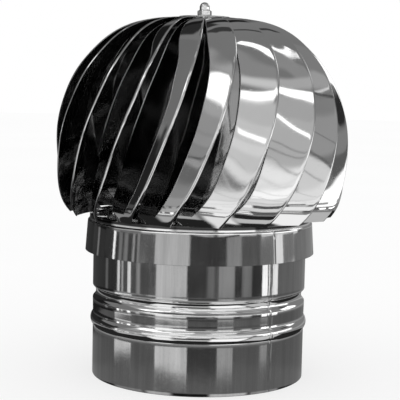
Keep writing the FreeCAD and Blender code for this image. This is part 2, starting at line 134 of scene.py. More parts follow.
def lathe(name, profile, angles, shape=None, sharp_deg=35.0):
    """Closed (r, z) profile, counter-clockwise seen with r to the right and z up, turned about Z.
    shape(r, z, phi) may return a changed r and z."""
    prof = np.asarray(profile, float)
    ang = np.asarray(angles, float)
    r = np.repeat(prof[None, :, 0], len(ang), 0)
    z = np.repeat(prof[None, :, 1], len(ang), 0)
    ph = np.repeat(ang[:, None], len(prof), 1)
    if shape is not None:
        r, z = shape(r, z, ph)
    v = np.stack([r * np.cos(ph), r * np.sin(ph), z], -1).reshape(-1, 3)
    f = grid_faces(len(ang), len(prof), close_rows=True, close_cols=True, flip=True)
    return new_object(name, v, f, sharp_deg)


def arc_pts(cx, cz, r, a0, a1, n, ends=True):
    a = np.radians(np.linspace(a0, a1, n))
    p = np.stack([cx + r * np.cos(a), cz + r * np.sin(a)], 1)
    return [tuple(q) for q in (p if ends else p[1:-1])]


def line_pts(a, b, n):
    """n points from a to b, without the last."""
    t = np.linspace(0, 1, n + 1)[:-1]
    return [(a[0] + (b[0] - a[0]) * k, a[1] + (b[1] - a[1]) * k) for k in t]


def full_angles(n, dense=()):
    """n even angles, plus finer steps around each (centre, half width, step), in degrees."""
    a = list(np.arange(n) * 360.0 / n)
    for c, w, s in dense:
        a = [x for x in a if abs((x - c + 180) % 360 - 180) > w]
        a += list(np.arange(c - w, c + w + s / 2, s) % 360)
    return np.radians(np.array(sorted(set(np.round(a, 5)))))


def waves(seed, n, kmin, kmax):
    rng = random.Random(seed)
    out = []
    for _ in range(n):
        k = rng.uniform(kmin, kmax)
        d = rng.uniform(0, math.pi)
        out.append((k * math.cos(d), k * math.sin(d), rng.uniform(0, 2 * math.pi), (kmin / k) ** 0.7))
    return out


def wave_sum(ws, x, y):
    s = np.zeros(np.broadcast(x, y).shape)
    for kx, ky, p, a in ws:
        s = s + a * np.sin(kx * x + ky * y + p)
    return s / max(1.0, sum(w[3] for w in ws)) * 2.0


# =====================================================================================
# Vanes: thin strips, straight across, with a rolled lip along the free edge
# =====================================================================================
_m = np.array(MERIDIAN, float)
STA = np.r_[0.0, np.cumsum(np.hypot(np.diff(_m[:, 0]), np.diff(_m[:, 1])))]
MER_R, MER_Z, MER_A = Spline(STA, _m[:, 0]), Spline(STA, _m[:, 1]), Spline(STA, _m[:, 2])
DEPTH_AT, BULGE_AT = Spline(*zip(*DEPTH)), Spline(*zip(*BULGE))


def vane_frame(k, s):
    """Free-edge point, inner-edge point, chord direction, outward normal and radius at stations s."""
    u = s / STA[-1]
    r, z = MER_R(s), MER_Z(s)
    dr, dz = MER_R(s, 1), MER_Z(s, 1)
    ln = np.hypot(dr, dz)
    nr, nz = dz / ln, -dr / ln
    low = nz < 0
    nr, nz = np.where(low, 1.0, nr), np.where(low, 0.0, nz)
    top = np.clip((u - 0.42) / 0.58, 0, 1)
    top = top * top * (3 - 2 * top)
    ang = np.radians(VANE_BASE_DEG + 360.0 / N_VANES * k + DEV_MID[k] + DEV_TOP[k] * top + MER_A(s))
    depth = DEPTH_AT(u)
    ri, zi = r - depth * nr, z - depth * nz
    ai = ang - math.radians(VANE_WIDTH_DEG)
    po = np.stack([r * np.cos(ang), r * np.sin(ang), z], -1)
    pi = np.stack([ri * np.cos(ai), ri * np.sin(ai), zi], -1)
    e = unit(po - pi)
    along = np.gradient(po, axis=0) + np.gradient(pi, axis=0)
    n_true = unit(np.cross(e, along))
    out_dir = po - np.array([0, 0, 212.0])
    n_true *= np.sign((n_true * out_dir).sum(1, keepdims=True))
    n_level = unit(np.stack([e[:, 1], -e[:, 0], np.zeros(len(s))], -1))
    n_level *= np.sign((n_level[:, :2] * po[:, :2]).sum(1, keepdims=True))
    w = np.clip((z - 195.0) / 40.0, 0, 1) * (np.arange(len(s)) > 0)
    w = (w * w * (3 - 2 * w))[:, None]
    n = n_level * (1 - w) + n_true * w
    n = unit(n - e * (n * e).sum(1, keepdims=True))
    return po, pi, e, n, r


def vane(k):
    rows, flat, curl = 132, 20, 7
    s = STA[-1] * np.linspace(0, 1, rows)
    po, pi, e, n, r = vane_frame(k, s)
    t = VANE_T
    size = np.clip(r / 100.0, 0.0, 1.0)
    rho = np.maximum(2.0 * size, t + 0.15)
    turn = np.radians(40.0 + 35.0 * np.clip((size - 0.3) / 0.4, 0, 1))
    ws = waves(100 + k, 7, 0.05, 0.16)
    fade = np.clip(s / 12.0, 0, 1) * np.clip((STA[-1] - s) / 40.0, 0, 1)
    chord = np.linalg.norm(po - pi, axis=1)
    bulge = BULGE_AT(s / STA[-1])
    lean = np.arctan2(4.0 * bulge, chord)[:, None]          # slope of the skin at its two edges
    back = (0.65 * size)[:, None]                           # the free edge's bend starts this far inside
    po = po - e * back
    chord = np.linalg.norm(po - pi, axis=1)
    e1, n1 = e * np.cos(lean) - n * np.sin(lean), n * np.cos(lean) + e * np.sin(lean)
    e0_, n0_ = -e * np.cos(lean) - n * np.sin(lean), n * np.cos(lean) - e * np.sin(lean)
    outer, inner = [], []
    # narrow flared inner edge
    rin = np.maximum(1.35 * size, t + 0.12)[:, None]
    high = np.clip((MER_Z(s) - 203.0) / 40.0, 0, 1)
    turn_in = np.radians(62.0) * (0.12 + 0.88 * high * high * (3 - 2 * high))
    for i in range(curl, 0, -1):
        a = (turn_in * i / curl)[:, None]
        c, sn = np.cos(a), np.sin(a)
        outer.append(pi + e0_ * ((rin - t) * sn) + n0_ * ((rin - t) * (1 - c)))
        inner.append(pi + e0_ * (rin * sn) + n0_ * ((rin - t) - rin * c))
    for w in np.linspace(0, 1, flat):
        bump = wave_sum(ws, s, w * 55.0) * VANE_WAVE * fade * math.sin(math.pi * min(1.0, w * 0.9 + 0.1))
        tilt = lean * (2.0 * w - 1.0)
        nn = n * np.cos(tilt) + e * np.sin(tilt)
        p = pi + (po - pi) * w + n * (bump * min(1.0, w * 8.0) + 4.0 * bulge * w * (1.0 - w))[:, None]
        outer.append(p)
        inner.append(p - nn * t)
    for i in range(1, curl + 1):
        a = turn * i / curl
        c, sn = np.cos(a)[:, None], np.sin(a)[:, None]
        rr = rho[:, None]
        b = bump[:, None] * n
        outer.append(po + b + e1 * (rr * sn) - n1 * (rr * (1 - c)))
        inner.append(po + b + e1 * ((rr - t) * sn) - n1 * (rr - (rr - t) * c))
    loop = outer + inner[::-1]
    m = len(loop)
    v = np.stack(loop, 1).reshape(-1, 3)
    faces = grid_faces(rows, m, close_cols=True)
    half = m // 2
    for row, flip in ((0, True), (rows - 1, False)):
        b = row * m
        for j in range(half - 1):
            q = (b + j, b + j + 1, b + m - 2 - j, b + m - 1 - j)
            faces.append(q[::-1] if flip else q)
    # foot tab with rounded corners, spot-welded on the collar flange
    base = len(v)
    e0 = e[0]
    n0 = n[0] * (-1.0 if np.dot(n[0], pi[0]) > 0 else 1.0)
    pts = []
    a, b_ = 0.8, 0.8 + TAB_LEN
    outline = [(a, -0.05), (b_, -0.05)]
    for c_a, c_n, sgn in ((b_ - 1.2, TAB_WIDE, 1), (a + 1.2, TAB_WIDE, -1)):
        rad_ = 2.0
        for q in range(5):
            th = math.radians(90 * q / 4.0)
            if sgn > 0:
                outline.append((c_a - rad_ + rad_ * math.cos(th), c_n - rad_ + rad_ * math.sin(th)))
            else:
                outline.append((c_a + rad_ - rad_ * math.sin(th), c_n - rad_ + rad_ * math.cos(th)))
    low = [pi[0] + e0 * x + n0 * y for x, y in outline]
    high = [p + np.array([0, 0, t]) for p in low]
    cnt = len(low)
    v = np.vstack([v, np.array(low), np.array(high)])
    for j in range(cnt):
        faces.append((base + j, base + (j + 1) % cnt, base + cnt + (j + 1) % cnt, base + cnt + j))
    faces.append(tuple(base + j for j in range(cnt))[::-1])
    faces.append(tuple(base + cnt + j for j in range(cnt)))
    ob = new_object("vane_%02d_sheet" % (k + 1), v, faces, 40.0)
    # the second material goes on the inner skin: painted shade on vanes 9 to 19, painted light on vanes 1 to 8; the
    # third, rougher and painted near white as a highlight, on the flared inner edge and the two cut edges
    idx = np.arange(len(ob.data.polygons))
    col = idx % m
    body = idx < (rows - 1) * m
    kind = np.where(body & (col >= half) & (col < m - 1), 1, 0)
    kind = np.where(body & ((col < curl) | (col == m - 1) | (col == half - 1)), 2, kind)
    ob.data.polygons.foreach_set("material_index", kind.astype(np.int32))
    fix_normals(ob)
    return ob


def fix_normals(ob):
    import bmesh
    bm = bmesh.new()
    bm.from_mesh(ob.data)
    bmesh.ops.recalc_face_normals(bm, faces=bm.faces)
    bm.to_mesh(ob.data)
    bm.free()


VANE_WAVE = 0.11


# =====================================================================================
# Spigot tube: bead, groove, weld seam
# =====================================================================================
def swell_pts(r0, zc, half, h, foot, t, sign, n_foot=6, n_crest=16):
    big = (half * half + h * h) / (2.0 * h) * 0.92
    dz = math.sqrt((big + foot) ** 2 - (big + foot - h) ** 2)
    cr, fr = r0 + sign * (h - big), r0 + sign * foot
    rc, rf = big - sign * t, foot + sign * t
    ang = math.atan2(dz, sign * (fr - cr))
    out = []
    for i in range(n_foot):
        a = ang * i / (n_foot - 1.0)
        out.append((fr - sign * rf * math.cos(a), zc - dz + rf * math.sin(a)))
    for i in range(1, n_crest):
        a = -ang + 2 * ang * i / float(n_crest)
        out.append((cr + sign * rc * math.cos(a), zc + rc * math.sin(a)))
    for i in range(n_foot):
        a = ang * (1 - i / (n_foot - 1.0))
        out.append((fr - sign * rf * math.cos(a), zc + dz - rf * math.sin(a)))
    return out


def tube_skin(t, coarse=1):
    bead = swell_pts(TUBE_R, BEAD_Z, BEAD_HALF, BEAD_H, BEAD_FOOT, t, 1)
    groove = swell_pts(TUBE_R_UP, GROOVE_Z, GROOVE_HALF, GROOVE_D, GROOVE_FOOT, t, -1)
    p = line_pts((TUBE_R - t, 0.0), bead[0], 12 // coarse)
    if t == 0.0:
        p = arc_pts(TUBE_R - 0.55, 0.55, 0.55, 275, 360, 6) + p[1:]
    p += bead
    p += line_pts(bead[-1], groove[0], 3)[1:]
    p += groove
    p += line_pts(groove[-1], (TUBE_R_UP - t, TUBE_TOP), 14 // coarse)[1:]
    p.append((TUBE_R_UP - t, TUBE_TOP))
    return p


WELD_DEG = -50.0
SEAM_DEG = -51.5


def build_tube():
    outer, inner = tube_skin(0.0), tube_skin(SHEET, 2)
    prof = outer + inner[::-1]
    ang = full_angles(300, [(WELD_DEG % 360, 2.0, 0.16)])
    ws = waves(7, 6, 1.0, 7.0)
    wz = waves(8, 5, 0.02, 0.06)

    def shape(r, z, ph):
        w = wave_sum([(k[0], 0, k[2], k[3]) for k in ws], ph * 3.0, z) * 0.05
        w = w + wave_sum(wz, ph * 100.0, z) * 0.04
        d = ((ph - math.radians(WELD_DEG) + math.pi) % (2 * math.pi) - math.pi) * 100.0
        d = d + 0.30 * np.sin(z * 0.23) + 0.16 * np.sin(z * 0.71 + 1.0)
        ripple = 0.75 + 0.25 * np.sin(z * 2.9 + 1.2 * np.abs(d))
        weld = 0.34 * np.exp(-(d / 0.72) ** 2) * ripple - 0.10 * np.exp(-((np.abs(d) - 1.7) / 0.6) ** 2)
        spot = 0.0
        for zc, phc in ((76.5, -102.0), (74.5, 78.0)):
            dd = ((ph - math.radians(phc) + math.pi) % (2 * math.pi) - math.pi) * 97.0
            spot = spot - 0.42 * np.exp(-((dd / 1.9) ** 2 + ((z - zc) / 1.9) ** 2) ** 2)
        return r + w + np.where(r > 90, weld, 0) + spot, z

    ob = lathe("tube_shell", prof, ang, shape, 40.0)
    fix_normals(ob)
    return ob


# =====================================================================================
# Skirt collar
# =====================================================================================
def build_skirt():
    t, sr = SHEET, 1.6
    zs = SKIRT_Z_SHOULDER
    slope = (SKIRT_R_TOP - SKIRT_R_BOT) / (zs - SKIRT_Z_BOT)
    p = line_pts((SKIRT_R_BOT, SKIRT_Z_BOT), (SKIRT_R_TOP, zs - sr), 9)
    p += arc_pts(SKIRT_R_TOP - sr, zs - sr, sr, 0, 90, 8)
    p += arc_pts(LIP_R + 0.12, zs + 0.12, 0.12, 270, 180, 3)
    p += line_pts((LIP_R, zs + 0.3), (LIP_R, FLANGE_Z - 1.2), 3)
    p += arc_pts(LIP_R - 1.2, FLANGE_Z - 1.2, 1.2, 0, 90, 7)
    p += line_pts((LIP_R - 1.6, FLANGE_Z), (FLANGE_R_IN + 0.2, FLANGE_Z), 5)
    p += arc_pts(FLANGE_R_IN + 0.3, FLANGE_Z - 0.3, 0.3, 90, 270, 5)
    p += line_pts((FLANGE_R_IN + 1.0, FLANGE_Z - t), (LIP_R - 1.2, FLANGE_Z - t), 4)
    p += arc_pts(LIP_R - 1.2, FLANGE_Z - 1.2, 0.6, 90, 0, 5)
    p += line_pts((LIP_R - t, FLANGE_Z - 1.6), (LIP_R - t, zs - t), 2)
    p += [(LIP_R - t, zs - t)]
    p += arc_pts(SKIRT_R_TOP - sr, zs - sr, sr - t, 90, 0, 5)
    p += line_pts((SKIRT_R_TOP - t, zs - sr - 0.4), (SKIRT_R_BOT - t + slope * HEM_H, SKIRT_Z_BOT + HEM_H), 5)
    p += [(SKIRT_R_BOT - t + slope * HEM_H, SKIRT_Z_BOT + HEM_H), (SKIRT_R_BOT - 2 * t + slope * HEM_H, SKIRT_Z_BOT + HEM_H)]
    p += arc_pts(SKIRT_R_BOT - t, SKIRT_Z_BOT + 0.35, t, 180, 330, 6)
    ang = full_angles(300, [(SEAM_DEG % 360, 2.2, 0.18)])
    ws = waves(17, 6, 1.0, 8.0)
    wz = waves(18, 5, 0.02, 0.07)

    def shape(r, z, ph):
        wall = np.clip((zs - z) / 4.0, 0, 1) * (r > 100)
        w = wave_sum([(k[0], 0, k[2], k[3]) for k in ws], ph * 3.0, z) * 0.06
        w = w + wave_sum(wz, ph * 100.0, z) * 0.05
        d = ((ph - math.radians(SEAM_DEG) + math.pi) % (2 * math.pi) - math.pi) * 106.0
        seam = -0.22 * np.exp(-(d / 0.55) ** 2) * np.clip((zs + 0.5 - z) / 1.0, 0, 1)
        notch = np.exp(-(d / 1.1) ** 4) * np.clip((z - (zs - 3.4)) / 1.4, 0, 1) * np.clip((zs + 0.8 - z) / 0.6, 0, 1)
        outer_wall = (r > LIP_R + 0.4)
        return r + w * wall + np.where(outer_wall, seam, 0) - np.where(outer_wall, 0.9 * notch, 0), z - 0.55 * notch * outer_wall

    ob = lathe("skirt_shell", p, ang, shape, 40.0)
    fix_normals(ob)
    return ob


# =====================================================================================
# Hub, nut, washers, spindle: turned pieces
# =====================================================================================
HUB_DISC_R, HUB_FLAT_R, HUB_DISH, HUB_TOP, HUB_T = 40.0, 18.0, 3.0, 333.0, 1.2
PLATE_R, PLATE_Z, PLATE_T = 24.0, 335.1, 1.0
WASH_Z, WASH_T = 336.1, 1.2
NUT_Z, NUT_AF, NUT_HEX_H, NUT_H, DOME_R = 337.3, 12.0, 3.6, 12.0, 4.65


def rounded(points, radius=0.15, n=3):
    """Closed profile with every corner rounded by short arcs of the given radius."""
    out = []
    m = len(points)
    for i in range(m):
        a, b, c = (np.array(points[(i + q) % m], float) for q in (-1, 0, 1))
        u, v = a - b, c - b
        lu, lv = np.linalg.norm(u), np.linalg.norm(v)
        cosang = np.clip(np.dot(u, v) / (lu * lv), -1, 1)
        if cosang < -0.995:
            out.append(tuple(b))
            continue
        d = min(radius, lu * 0.45, lv * 0.45)
        p0, p1 = b + u / lu * d, b + v / lv * d
        for q in range(n + 1):
            f = q / float(n)
            out.append(tuple((1 - f) ** 2 * p0 + 2 * f * (1 - f) * b + f * f * p1))
    return out


def dense(points, step):
    """Adds points to the straight runs of a closed profile."""
    out = []
    m = len(points)
    for i in range(m):
        a, b = np.array(points[i], float), np.array(points[(i + 1) % m], float)
        k = max(1, int(math.ceil(np.linalg.norm(b - a) / step)))
        for q in range(k):
            out.append(tuple(a + (b - a) * q / k))
    return out


def turned(name, points, radius=0.15, n_ang=96, step=20.0, shape=None):
    prof = dense(rounded(points, radius), step)
    ob = lathe(name, prof, full_angles(n_ang), shape, 45.0)
    fix_normals(ob)
    return ob


def build_nut():
    prof = []
    prof += line_pts((3.02, NUT_Z + 8.5), (3.02, NUT_Z), 6)
    prof += line_pts((3.02, NUT_Z), (5.9, NUT_Z), 4)
    prof += line_pts((5.9, NUT_Z), (7.6, NUT_Z + 0.7), 6)
    prof += line_pts((7.6, NUT_Z + 0.7), (7.6, NUT_Z + NUT_HEX_H - 0.2), 4)
    prof += line_pts((7.6, NUT_Z + NUT_HEX_H - 0.2), (DOME_R + 0.12, NUT_Z + NUT_HEX_H + 1.22), 14)
    prof += [(DOME_R + 0.03, NUT_Z + NUT_HEX_H + 1.34)]
    prof += line_pts((DOME_R, NUT_Z + NUT_HEX_H + 1.5), (DOME_R, NUT_Z + NUT_H - DOME_R), 3)
    prof += arc_pts(0, NUT_Z + NUT_H - DOME_R, DOME_R, 0, 89.5, 18)
    prof += [(0.02, NUT_Z + 8.6), (2.9, NUT_Z + 8.6)]

    def shape(r, z, ph):
        a = np.degrees(ph) - 12.0
        a = (a % 60.0) - 30.0
        hexr = NUT_AF / 2.0 / np.cos(np.radians(a))
        k = 0.06                                   # slightly rounded hexagon edges
        corner = NUT_AF / math.sqrt(3.0) - 0.16
        hexr = np.minimum(hexr, corner - k * ((30.0 - np.abs(a)) / 30.0) ** 2)
        body = (z < NUT_Z + NUT_HEX_H + 1.3) & (r > 4.9)
        return np.where(body, np.minimum(r, hexr), r), z

    ang = full_angles(144)
    ob = lathe("cap_nut_turned", prof, ang, shape, 30.0)
    fix_normals(ob)
    return ob


pieces = {}
for k in range(N_VANES):
    node = "vane_%02d" % (k + 1)
    ob = vane(k)
    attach(ob, "head")
    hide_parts(node)
    pieces[node] = ob


def take(ob, body, node):
    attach(ob, body)
    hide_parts(node)
    pieces[node] = ob


take(build_tube(), "base", "base_tube")
take(build_skirt(), "head", "skirt_collar")
h = HUB_TOP
take(turned("hub_disc_turned", [
    (3.06, h), (HUB_FLAT_R, h), (HUB_DISC_R - 1.0, h - HUB_DISH), (HUB_DISC_R, h - HUB_DISH - 1.2),
    (HUB_DISC_R, h - HUB_DISH - 5.0), (HUB_DISC_R - HUB_T, h - HUB_DISH - 5.0), (HUB_DISC_R - HUB_T, h - HUB_DISH - 1.5),
    (HUB_FLAT_R - 0.1, h - HUB_T), (3.06, h - HUB_T)], 0.5, 160, 6.0), "head", "hub_disc")
take(turned("hub_plate_turned", [
    (3.06, PLATE_Z), (PLATE_R, PLATE_Z), (PLATE_R, PLATE_Z + 0.5), (PLATE_R - 0.8, PLATE_Z + PLATE_T), (3.06, PLATE_Z + PLATE_T)],
    0.2, 144, 4.0), "head", "hub_plate")
take(turned("top_washer_turned", [
    (3.16, WASH_Z), (6.6, WASH_Z), (6.6, WASH_Z + WASH_T), (3.16, WASH_Z + WASH_T)], 0.22, 96), "head", "top_washer")
take(build_nut(), "head", "cap_nut")
take(turned("spindle_turned", [
    (0.02, 8.0), (3.3, 8.0), (4.0, 8.7), (4.0, 142.0), (5.0, 142.0), (5.0, 329.3), (2.98, 329.3), (2.98, 345.3), (0.02, 345.3)],
    0.12, 64, 30.0), "head", "spindle")
take(turned("bearing_housing_turned", [
    (11.0, 20.0), (13.0, 20.0), (13.0, 142.0), (11.0, 142.0), (11.0, 135.0), (10.0, 135.0), (10.0, 27.0), (11.0, 27.0)],
    0.3, 96, 25.0), "base", "bearing_housing")
take(turned("boss_washer_turned", [
    (3.06, 329.3), (15.0, 329.3), (15.0, 331.8), (3.06, 331.8)], 0.3, 96), "head", "hub_boss_washer")


# =====================================================================================
# Materials (all node based)
# =====================================================================================
def nodes_of(mat):
    mat.use_nodes = True
    nt = mat.node_tree
    nt.nodes.clear()
    return nt


class Net:
    """Small helper to write node networks in one line each."""

    def __init__(self, tree):
        self.t = tree

    def node(self, kind, **kw):
        n = self.t.nodes.new(kind)
        for k, v in kw.items():
            setattr(n, k, v)
        return n

    def put(self, sock, value):
        if isinstance(value, bpy.types.NodeSocket):
            self.t.links.new(value, sock)
        elif value is not None:
            sock.default_value = value

    def math(self, op, a, b=None, c=None, clamp=False):
        n = self.node("ShaderNodeMath", operation=op, use_clamp=clamp)
        for i, v in enumerate((a, b, c)):
            if v is not None:
                self.put(n.inputs[i], v)
        return n.outputs[0]

    def rng(self, v, a, b, c, d, smooth=False):
        n = self.node("ShaderNodeMapRange", clamp=True)
        if smooth:
            n.interpolation_type = "SMOOTHSTEP"
        for i, x in enumerate((v, a, b, c, d)):
            self.put(n.inputs[i], x)
        return n.outputs[0]

    def mix(self, f, a, b):
        n = self.node("ShaderNodeMix", data_type="RGBA")
        self.put(n.inputs[0], f)
        self.put(n.inputs[6], a)
        self.put(n.inputs[7], b)
        return n.outputs[2]

    def noise(self, vec, scale, detail=2.0, rough=0.5, dist=0.0):
        n = self.node("ShaderNodeTexNoise")
        if vec is not None:
            self.put(n.inputs["Vector"], vec)
        n.inputs["Scale"].default_value = scale
        n.inputs["Detail"].default_value = detail
        n.inputs["Roughness"].default_value = rough
        n.inputs["Distortion"].default_value = dist
        return n.outputs["Fac"]

    def mapping(self, vec, scale=(1, 1, 1), rot=(0, 0, 0)):
        n = self.node("ShaderNodeMapping")
        self.put(n.inputs["Vector"], vec)
        n.inputs["Scale"].default_value = scale
        n.inputs["Rotation"].default_value = rot
        return n.outputs[0]


def grey(v, warm=0.0):
    return (v * (1 + warm), v, v * (1 - warm), 1.0)


def metal(name, dark, light, rough_lo, rough_hi, scratch=0.02, scratch_scale=(3, 3, 260), bump=0.02,
          bump_scale=70.0, warm=0.0, spots=0.0, streak=0.0, painted_light_rings=()):
    m = bpy.data.materials.new(name)
    nt = nodes_of(m)
    n = Net(nt)
    tc = n.node("ShaderNodeTexCoord").outputs["Object"]
    cloud = n.noise(tc, 16.0, 3.0, 0.55)
    tone = n.rng(cloud, 0.3, 0.7, 0.0, 1.0)
    grain = None
    if streak:
        grain = n.noise(n.mapping(tc, (1.0, 1.0, 0.035)), 150.0, 4.0, 0.65)
        tone = n.math("MULTIPLY_ADD", tone, 0.3, n.math("MULTIPLY", n.rng(grain, 0.3, 0.7, 0.0, 1.0), 0.7))
    col = n.mix(tone, grey(dark, warm), grey(light, warm))
    # height bands that replace the tone with a painted level: painted highlights where bright, painted shade where dark
    if painted_light_rings:
        sep = n.node("ShaderNodeSeparateXYZ")
        n.put(sep.inputs[0], tc)
        for z0, z1, soft, level in painted_light_rings:
            d = n.math("ABSOLUTE", n.math("SUBTRACT", sep.outputs[2], (z0 + z1) / 2.0 * MM))
            half = (z1 - z0) / 2.0 * MM
            col = n.mix(n.rng(d, half, half + soft * MM, 1.0, 0.0, True), col, grey(level, warm))
    lines = n.noise(n.mapping(tc, scratch_scale), 40.0, 3.0, 0.6)
    fine = n.noise(n.mapping(tc, (scratch_scale[2], scratch_scale[1], scratch_scale[0]), (0.3, 0.2, 0.5)), 22.0, 2.0, 0.6)
    marks = n.math("ADD", n.rng(lines, 0.62, 0.8, 0.0, 1.0), n.rng(fine, 0.66, 0.82, 0.0, 0.8), clamp=True)
    blot = n.noise(tc, 34.0, 4.0, 0.6, 0.4)
    base = n.rng(blot, 0.3, 0.72, rough_lo, rough_hi)
    if spots:
        sp = n.noise(tc, 210.0, 2.0, 0.5)
        base = n.math("ADD", base, n.rng(sp, 0.7, 0.8, 0.0, spots))
    rough = n.math("ADD", base, n.math("MULTIPLY", marks, scratch))
    hgt = n.math("ADD", n.math("MULTIPLY", n.noise(tc, bump_scale, 3.0, 0.5), 1.0), n.math("MULTIPLY", marks, -0.25))
    if streak:
        hgt = n.math("ADD", hgt, n.math("MULTIPLY", grain, streak))
    b = n.node("ShaderNodeBump")
    b.inputs["Strength"].default_value = bump
    b.inputs["Distance"].default_value = 0.0006
    n.put(b.inputs["Height"], hgt)
    p = n.node("ShaderNodeBsdfPrincipled")
    n.put(p.inputs["Base Color"], col)
    p.inputs["Metallic"].default_value = 1.0
    n.put(p.inputs["Roughness"], rough)
    n.put(p.inputs["Normal"], b.outputs[0])
    out = n.node("ShaderNodeOutputMaterial")
    nt.links.new(p.outputs[0], out.inputs[0])
    return m


M_POLISH = metal("mirror_sheet", 0.71, 0.77, 0.035, 0.06, 0.03, bump=0.03, bump_scale=55.0)
# inner skins: a dark copy of the mirror steel as painted shade for the far vanes, and a bright copy as painted light
# for the near vanes
M_UNDER_SHADED = metal("underside_painted_shade", 0.18, 0.24, 0.07, 0.12, 0.05, bump=0.04, bump_scale=70.0)
M_UNDER_LIT = metal("underside_painted_light", 0.88, 0.92, 0.04, 0.06, 0.02, bump=0.03, bump_scale=55.0)
# edges: rougher than the sheet and set near white, a painted highlight for the bright edge lines
M_EDGE_HIGHLIGHT = metal("rough_edge_painted_highlight", 0.93, 0.96, 0.30, 0.38, 0.02, bump=0.02, bump_scale=200.0)
# tube: base set darker than the vanes' steel, a painted shade over the whole sheet; the bright bands over the bead and
# groove are painted highlights
M_TUBE = metal("tube_sheet", 0.29, 0.42, 0.04, 0.075, 0.05, (90, 90, 2.0), 0.03, 55.0, streak=1.6,
               painted_light_rings=[(46.0, 59.5, 1.5, 0.82), (71.5, 85.0, 1.5, 0.82)])
# collar: base set darker than the vanes' steel as painted shade; the bright band on the shoulder is a painted
# highlight, the near-black band on the lip a painted shade line
M_COLLAR = metal("collar_sheet", 0.29, 0.42, 0.04, 0.07, 0.05, (90, 90, 2.0), 0.03, 55.0, streak=1.6,
                 painted_light_rings=[(144.6, 147.4, 0.5, 0.95), (148.3, 151.5, 0.4, 0.06)])
M_HUB = metal("hub_sheet", 0.72, 0.8, 0.06, 0.12, 0.06, (120, 120, 4), 0.05, 80.0)
M_NUT = metal("bright_fastener", 0.80, 0.90, 0.12, 0.2, 0.08, (200, 200, 30), 0.08, 300.0)
M_PLAIN = metal("mill_finish", 0.5, 0.6, 0.22, 0.34, 0.12, (6, 6, 240), 0.12, 120.0, spots=0.05)
M_SPINDLE = metal("turned_bar", 0.56, 0.66, 0.16, 0.26, 0.14, (4, 4, 500), 0.12, 200.0)
M_BEARING = metal("ground_steel", 0.62, 0.72, 0.08, 0.16, 0.06, (4, 4, 400), 0.04, 300.0)
M_CAGE = metal("pressed_strip", 0.5, 0.58, 0.25, 0.38, 0.08, (60, 60, 60), 0.1, 400.0, warm=0.03)

SLOT_MAT = {"polished_steel": M_POLISH, "plain_steel": M_PLAIN, "spindle_steel": M_SPINDLE,
            "bearing_steel": M_BEARING, "cage_steel": M_CAGE, "cage_brass": M_CAGE, "fastener_steel": M_NUT}
SPECIAL = {"base_tube": M_TUBE, "skirt_collar": M_COLLAR, "hub_disc": M_HUB, "hub_plate": M_HUB}


def dress(ob, mat_):
    me = ob.data
    if len(me.materials) == 0:
        me.materials.append(mat_)
    else:
        for i in range(len(me.materials)):
            me.materials[i] = mat_


SLOT_OF = {p["node"]: p["material_slot"] for p in frame["record"]["subparts"]}
for node in sorted(NODES):
    mat_ = SPECIAL.get(node) or SLOT_MAT[SLOT_OF[node]]
    ob = NODES[node]
    ob = bpy.data.objects[ob] if isinstance(ob, str) else ob
    dress(ob, mat_)
    if node not in pieces:
        ob.data.polygons.foreach_set("use_smooth", [True] * len(ob.data.polygons))
        ob.data.set_sharp_from_angle(angle=math.radians(32))
for node, ob in pieces.items():
    dress(ob, SPECIAL.get(node) or SLOT_MAT[SLOT_OF[node]])
    if node.startswith("vane_"):
        # inner skin: vanes 1 to 8 get the painted-light copy, vanes 9 to 19 the painted-shade copy
        ob.data.materials.append(M_UNDER_LIT if 1 <= int(node[5:7]) <= 8 else M_UNDER_SHADED)
        ob.data.materials.append(M_EDGE_HIGHLIGHT)


# =====================================================================================
# Studio: floor, soft dome for the floor, panels and flags seen in the polished metal
# =====================================================================================
def build_floor():
    m = bpy.data.materials.new("floor_pale")
    nt = nodes_of(m)
    n = Net(nt)
    tc = n.node("ShaderNodeTexCoord").outputs["Object"]
    d = n.node("ShaderNodeBsdfDiffuse")
    n.put(d.inputs["Color"], n.mix(n.rng(n.noise(tc, 2.0, 2.0), 0.3, 0.7, 0, 1), grey(0.31), grey(0.32)))
    g = n.node("ShaderNodeEmission")
    g.inputs[0].default_value = (1.0, 1.0, 1.0, 1.0)
    g.inputs[1].default_value = 0.665
    both = n.node("ShaderNodeAddShader")
    nt.links.new(d.outputs[0], both.inputs[0])
    nt.links.new(g.outputs[0], both.inputs[1])
    out = n.node("ShaderNodeOutputMaterial")
    nt.links.new(both.outputs[0], out.inputs[0])
    R, k = 9000.0, 96
    verts = [(0, 0, 0)] + [(R * math.cos(2 * math.pi * i / k), R * math.sin(2 * math.pi * i / k), 0) for i in range(k)]
    faces = [(0, 1 + i, 1 + (i + 1) % k) for i in range(k)]
    ob = new_object("studio_floor", verts, faces)
    dress(ob, m)
    ob.visible_glossy = False
    return ob


build_floor()

